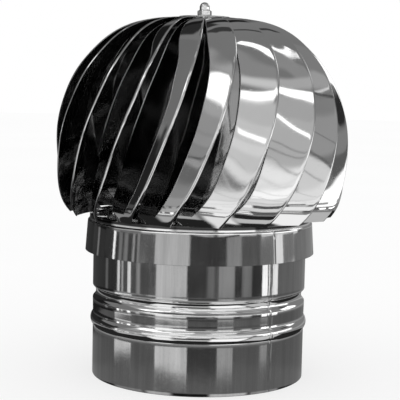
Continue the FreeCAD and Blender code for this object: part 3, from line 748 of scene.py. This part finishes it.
# One row per panel or flag: azimuth from, to; elevation from, to; soft edge across, up; brightness; opacity; slope.
# Azimuth 0 is behind the camera, positive to the right; elevation 90 is straight up. Slope is the drop of the
# elevation for each degree to the right. Later rows cover earlier ones.
PANELS = [
    (-180, 180, -90, 90, 0, 0, 0.22, 1.0, 0),
    # dark left wall, and the dark far end behind the object
    (-180, -92, -90, 17, 8, 4, 0.02, 1.0, 0),
    (-184, -130, 14, 40, 6, 4, 0.012, 1.0, 0),
    (-184, -166, 18, 30, 6, 4, 0.16, 1.0, 0),
    (-128, -88, 22, 60, 4, 2, 0.19, 1.0, 0),
    (-101, -96, 12, 22, 2, 3, 0.05, 1.0, 0),
    # floor between the vanes
    (-180, 180, -90, -16, 0, 6, 0.02, 1.0, 0),
    # dark ceiling edge at the far end
    (-168, -138, 38, 50, 6, 2, 0.03, 1.0, 0),
    (-168, -138, 56, 65, 6, 1.5, 0.05, 1.0, 0),
    (164, 196, 66, 69.5, 4, 1.0, 0.06, 1.0, 0),
    (150, 166, 55, 60, 4, 1.5, 0.05, 1.0, 0),
    # left of the camera
    (-88, -50, 54, 62, 12, 4, 0.45, 1.0, 0),
    (-84, -50, 26, 40, 6, 4, 0.36, 1.0, 0),
    (-84, -50, 35, 40, 6, 2, 0.45, 1.0, 0),
    (-82, -50, 39.6, 53.3, 6, 2.6, 1.9, 1.0, 0),
    (-84, -50, 20, 26, 6, 3, 0.37, 1.0, 0),
    (-86, -52, 16, 20, 6, 2, 0.30, 1.0, 0),
    (-86, -52, 13.4, 15.2, 6, 0.8, 0.38, 1.0, 0),
    (-86, -52, 15.2, 15.9, 6, 0.5, 0.12, 1.0, -0.1),
    (-88, -52, 10.2, 13.2, 6, 1, 0.16, 1.0, 0),
    (-92, -54, 6.5, 10, 6, 2, 0.30, 1.0, 0),
    (-96, -56, -1, 6.5, 6, 2, 0.40, 1.0, 0),
    (-100, -60, -30, -1, 10, 3, 0.50, 1.0, 0),
    # wall and ceiling over the camera, from the top down
    (-50, -5, 58, 72, 4, 4, 0.30, 1.0, 0),
    (-40, 8, 78.8, 84.3, 6, 1, 1.6, 1.0, 0),
    (-50, -5, 53, 60, 3, 5, 0.72, 1.0, 0),
    (-50, -5, 35, 47, 3, 3, 0.62, 1.0, 0),
    (-50, -4, 42.6, 47, 3, 2, 0.95, 1.0, -0.33),
    (-34, -2, 46.6, 50.9, 2, 1.5, 1.8, 1.0, -0.33),
    (-50, -33, 43.5, 49.5, 2, 1.5, 1.7, 1.0, 0),
    (-50, -5, 15, 36, 3, 2, 0.72, 1.0, 0),
    (-31.5, -14, 27.6, 30.2, 1, 0.9, 1.6, 1.0, 0.2),
    (-50, -8, 21.5, 26, 3, 2, 0.85, 1.0, 0.1),
    (-56, -8, 17.2, 17.6, 3, 0.5, 0.62, 1.0, 0.25),
    (-56, -8, 14, 16.5, 3, 1.5, 0.90, 1.0, 0.1),
    (-58, -20, 13.3, 13.6, 3, 0.4, 0.62, 1.0, 0.2),
    (-60, -20, 8, 12.6, 3, 1.5, 0.92, 1.0, 0),
    (-60, -26, -6, 8, 4, 2, 1.05, 1.0, 0),
    (-56, -28, -48, -6, 8, 3, 1.0, 1.0, 0),
    (-54, -22, 10.5, 10.8, 3, 0.25, 0.62, 1.0, 0.16),
    (-52, -30, 4.6, 4.9, 3, 0.25, 0.7, 1.0, -0.1),
    # right of the camera
    (40, 62, 58, 72, 6, 4, 0.32, 1.0, 0),
    (60, 90, 68.35, 69.6, 3, 0.5, 1.8, 1.0, 0),
    (-5, 62, 50, 58, 3, 4, 0.50, 1.0, 0),
    (-5, 42, 36, 47, 3, 3, 0.48, 1.0, 0),
    (18, 50, 45.0, 49.8, 3, 1.0, 1.8, 1.0, 0.2),
    (-8, 44, 15, 37, 3, 2, 0.55, 1.0, 0),
    (11, 31, 31.9, 34.4, 1.5, 1.0, 1.7, 1.0, 0.55),
    (4, 29, 22.5, 23.2, 2, 0.5, 0.33, 1.0, 0.17),
    (0, 27, 20.2, 20.8, 2, 0.4, 0.30, 1.0, 0.09),
    (-10, 36, 14, 17, 3, 2, 1.05, 1.0, 0),
    (-12, 32, 9, 14, 3, 2, 1.25, 1.0, 0),
    (-16, 26, 5, 9, 3, 2, 0.95, 1.0, 0),
    (-6, 24, 16.9, 17.4, 2, 0.4, 0.42, 1.0, 0.2),
    (-8, 20, 14.0, 14.4, 2, 0.3, 0.80, 1.0, 0.1),
    (-24, 14, -7, 5, 4, 2, 0.85, 1.0, 0),
    (-10, 24, 11.4, 11.7, 3, 0.25, 0.75, 1.0, 0.14),
    (-12, 22, 8.0, 8.25, 3, 0.25, 0.5, 1.0, 0.2),
    (-18, 14, 5.2, 5.5, 3, 0.25, 0.5, 1.0, 0.08),
    (-28, 14, -44, -30, 8, 3, 0.65, 1.0, 0),
    # right wall
    (90, 124, 44, 56, 6, 3, 0.26, 1.0, 0),
    (60, 92, 41.5, 50, 6, 2, 0.42, 1.0, 0),
    (70, 86, 40.5, 41.2, 3, 0.5, 0.95, 1.0, -0.1),
    (56, 90, 33.5, 38.5, 6, 2, 0.27, 1.0, 0),
    (70, 84, 37.8, 39.0, 3, 0.6, 0.08, 1.0, 0.3),
    (44, 88, 17.5, 33.5, 4, 3, 0.37, 1.0, 0),
    (50, 70, 23.3, 23.9, 2, 0.5, 0.20, 1.0, 0.5),
    (34, 72, 4.0, 16.0, 4, 1.2, 0.80, 1.0, 0.3),
    (44, 64, 15.7, 17.0, 2, 0.6, 0.16, 1.0, 0.47),
    (38, 58, 12.9, 13.3, 2, 0.3, 0.45, 1.0, 0.25),
    (26, 64, 6, 11.6, 4, 1.5, 0.95, 1.0, 0),
    (18, 58, -8, 6, 4, 2, 1.08, 1.0, 0),
    (14, 56, -50, -17, 6, 3, 1.15, 1.0, 0),
    (28, 60, 8.6, 8.9, 3, 0.25, 0.55, 1.0, 0.28),
    (24, 56, 4.2, 4.5, 3, 0.25, 0.6, 1.0, 0.15),
    # far right wall, black flag and white card
    (90, 140, 17, 34, 4, 4, 0.20, 1.0, 0),
    (104, 120, 19.5, 26, 2, 2, 0.03, 1.0, 0),
    (120, 142, 20, 36, 2, 2, 1.6, 1.0, 0),
    (90, 116, 12, 18, 4, 2, 0.26, 1.0, 0),
    (84, 116, 8.6, 12, 4, 1, 0.13, 1.0, 0),
    (64, 116, -6, 8.4, 4, 1, 1.5, 1.0, 0),
    (60, 100, -50, -17, 6, 3, 0.6, 1.0, 0),
    # level strip seen in the collar
    (-40, 40, -1.4, 2.3, 1, 0.5, 0.096, 1.0, 0),
    (-62, -40, -1.9, 0.4, 1, 0.5, 0.214, 1.0, 0),
    (-86, -62, -2.8, -0.4, 1, 0.5, 0.11, 1.0, 0),
    (-108, -86, -3.7, -1.3, 1, 0.5, 0.0887, 1.0, 0),
    (-135, -108, -5.4, -2.4, 1, 0.5, 0.077, 1.0, 0),
    (-182, -135, -7.2, -3.6, 1, 0.5, 0.0551, 1.0, 0),
    (40, 62, -1.9, 0.9, 1, 0.5, 0.214, 1.0, 0),
    (62, 86, -2.8, -0.4, 4, 0.5, 0.356, 1.0, 0),
    (86, 108, -3.7, -1.3, 1, 0.5, 0.445, 1.0, 0),
    (108, 180, -6.8, -2.4, 1, 0.5, 0.39, 1.0, 0),
    (-44, -10, -1.5, 2.2, 2, 0.5, 1.1, 1.0, 0),
    (27.5, 42, -1.5, 1.2, 2, 0.5, 0.587, 1.0, 0),
    (80, 91, -3.5, -0.6, 1.5, 0.5, 1.87, 1.0, 0),
    (-95.2, -92.4, -3.4, -1.2, 1, 0.5, 2.49, 1.0, 0),
    (-87, -82.5, -3.2, -0.8, 2.5, 0.5, 0.427, 1.0, 0),
    (-80, -75, -3.0, -0.6, 3, 0.5, 0.479, 1.0, 0),
    (-69.2, -66.4, -2.4, -0.4, 1.2, 0.5, 0.746, 1.0, 0),
    (-63.6, -60.8, -2.2, 0.2, 1.5, 0.5, 0.568, 1.0, 0),
    (-123, -119.5, -5.4, -2.4, 1.5, 0.5, 0.427, 1.0, 0),
    # low strip seen in the tube: its foot, and the part above that
    (-180, 180, -17, -12.9, 0, 0.5, 0.273, 1.0, 0),
    (-104, -60, -13.3, -11.7, 4, 0.3, 0.227, 1.0, 0),
    (-180, 180, -13.2, -11.7, 0, 0.5, 0.212, 1.0, 0),
    (-101, -76, -12.65, -11.7, 2, 0.4, 1.51, 1.0, 0),
    (-70, -58, -13.3, -11.7, 4, 0.4, 0.195, 1.0, 0),
    (-46, -11, -13.62, -11.7, 2, 0.2, 1.34, 1.0, 0.012),
    (-11, 21, -13.75, -11.7, 2, 0.4, 0.0952, 1.0, 0),
    (21, 38, -13.6, -11.7, 2, 0.4, 0.754, 1.0, 0),
    (70, 82, -13.1, -11.7, 3, 0.5, 0.603, 1.0, 0),
    # and the part seen above the groove
    (-180, 180, -10.3, -8.0, 0, 0.3, 0.16, 1.0, 0),
    (-182, -98, -10.3, -8.0, 3, 0.3, 0.0709, 1.0, 0),
    (-119, -114, -10.3, -8.0, 3, 0.3, 0.284, 1.0, 0),
    (-96.8, -93.4, -10.3, -8.0, 1.4, 0.3, 1.69, 1.0, 0),
    (-90.4, -87.6, -10.3, -8.0, 1.4, 0.3, 0.886, 1.0, 0),
    (-81.5, -77.0, -10.3, -8.0, 1.6, 0.3, 1.69, 1.0, 0),
    (-69.5, -65.0, -10.3, -8.0, 3, 0.3, 0.637, 1.0, 0),
    (-46, -12, -10.3, -8.0, 2.5, 0.3, 1.17, 1.0, 0),
    (-12, 8, -10.3, -8.0, 2.5, 0.3, 0.0831, 1.0, 0),
    (9.5, 16.5, -10.3, -8.0, 3, 0.3, 0.315, 1.0, 0),
    (21, 38, -10.3, -8.0, 2.5, 0.3, 0.603, 1.0, 0),
    (38.5, 46, -10.3, -8.0, 2, 0.3, 0.0709, 1.0, 0),
    (47, 58, -10.3, -8.0, 4, 0.3, 0.425, 1.0, 0),
    (58, 70.5, -10.3, -8.0, 2, 0.3, 0.0797, 1.0, 0),
    (71.0, 78.0, -10.3, -8.0, 1.2, 0.3, 2.84, 1.0, 0),
    (81.6, 93.5, -10.3, -8.0, 1.6, 0.3, 2.11, 1.0, 0),
    (95, 180, -10.3, -8.0, 2, 0.3, 0.301, 1.0, 0),
]


def build_world():
    w = bpy.data.worlds.new("studio")
    scene.world = w
    w.use_nodes = True
    nt = w.node_tree
    nt.nodes.clear()
    n = Net(nt)
    tc = n.node("ShaderNodeTexCoord").outputs["Generated"]
    sep = n.node("ShaderNodeSeparateXYZ")
    n.put(sep.inputs[0], tc)
    x, y, z = sep.outputs[0], sep.outputs[1], sep.outputs[2]
    az = n.math("MULTIPLY", n.math("ARCTAN2", x, n.math("MULTIPLY", y, -1.0)), 180.0 / math.pi)
    el = n.math("MULTIPLY", n.math("ARCSINE", n.math("MINIMUM", n.math("MAXIMUM", z, -1.0), 1.0)), 180.0 / math.pi)
    val = None
    for a0, a1, e0, e1, sa, se, bright, op, slope in PANELS:
        if val is None:
            val = n.math("ADD", bright, 0.0)
            continue
        terms = []
        if a1 - a0 < 359.0:
            c, half = (a0 + a1) / 2.0, (a1 - a0) / 2.0
            d = n.math("ABSOLUTE", n.math("WRAP", n.math("SUBTRACT", az, c), 180.0, -180.0))
            terms.append(n.rng(d, half - sa / 2.0, half + sa / 2.0, 1.0, 0.0, True))
        if e1 - e0 < 179.0:
            c, half = (e0 + e1) / 2.0, (e1 - e0) / 2.0
            up = el
            if slope:
                side = n.math("WRAP", n.math("SUBTRACT", az, (a0 + a1) / 2.0), 180.0, -180.0)
                up = n.math("MULTIPLY_ADD", side, slope, el)
            d = n.math("ABSOLUTE", n.math("SUBTRACT", up, c))
            terms.append(n.rng(d, half - se / 2.0, half + se / 2.0, 1.0, 0.0, True))
        m = terms[0]
        for t_ in terms[1:]:
            m = n.math("MULTIPLY", m, t_)
        if op < 1.0:
            m = n.math("MULTIPLY", m, op)
        # val + (bright - val) * m
        val = n.math("MULTIPLY_ADD", n.math("SUBTRACT", bright, val), m, val)
    lp = n.node("ShaderNodeLightPath")
    bg_room = n.node("ShaderNodeBackground")
    n.put(bg_room.inputs[0], val)
    bg_white = n.node("ShaderNodeBackground")
    bg_white.inputs[0].default_value = (1, 1, 1, 1)
    bg_white.inputs[1].default_value = 1.0
    sw = n.math("MAXIMUM", lp.outputs["Is Camera Ray"], lp.outputs["Is Diffuse Ray"])
    mx = n.node("ShaderNodeMixShader")
    n.put(mx.inputs[0], sw)
    nt.links.new(bg_room.outputs[0], mx.inputs[1])
    nt.links.new(bg_white.outputs[0], mx.inputs[2])
    out = n.node("ShaderNodeOutputWorld")
    nt.links.new(mx.outputs[0], out.inputs[0])
    w.cycles.sampling_method = "NONE"


build_world()

# =====================================================================================
# Camera at the photograph's viewing angle
# =====================================================================================
CAM_F, CAM_D, CAM_H, CAM_OX = 1221.78, 1150.0, 274.465, 0.495
CAM_PITCH, CAM_ROLL = 0.095492, 0.021711
cam_data = bpy.data.cameras.new("view")
cam = bpy.data.objects.new("view", cam_data)
scene.collection.objects.link(cam)
fwd = Vector((0, math.cos(CAM_PITCH), -math.sin(CAM_PITCH)))
up0 = Vector((0, math.sin(CAM_PITCH), math.cos(CAM_PITCH)))
right0 = Vector((1, 0, 0))
cr, sr_ = math.cos(CAM_ROLL), math.sin(CAM_ROLL)
# image x axis and image up axis in the world
right = right0 * cr + up0 * sr_
upv = up0 * cr - right0 * sr_
cam.matrix_world = Matrix((
    (right.x, upv.x, -fwd.x, -CAM_OX * MM),
    (right.y, upv.y, -fwd.y, -CAM_D * MM),
    (right.z, upv.z, -fwd.z, CAM_H * MM),
    (0, 0, 0, 1)))
cam_data.sensor_fit = "HORIZONTAL"
cam_data.sensor_width = 36.0
cam_data.lens = 36.0 * CAM_F / 400.0
cam_data.clip_start = 0.05
cam_data.clip_end = 60.0
scene.camera = cam
scene.view_settings.view_transform = "Standard"
scene.cycles.max_bounces = 12
scene.cycles.glossy_bounces = 12
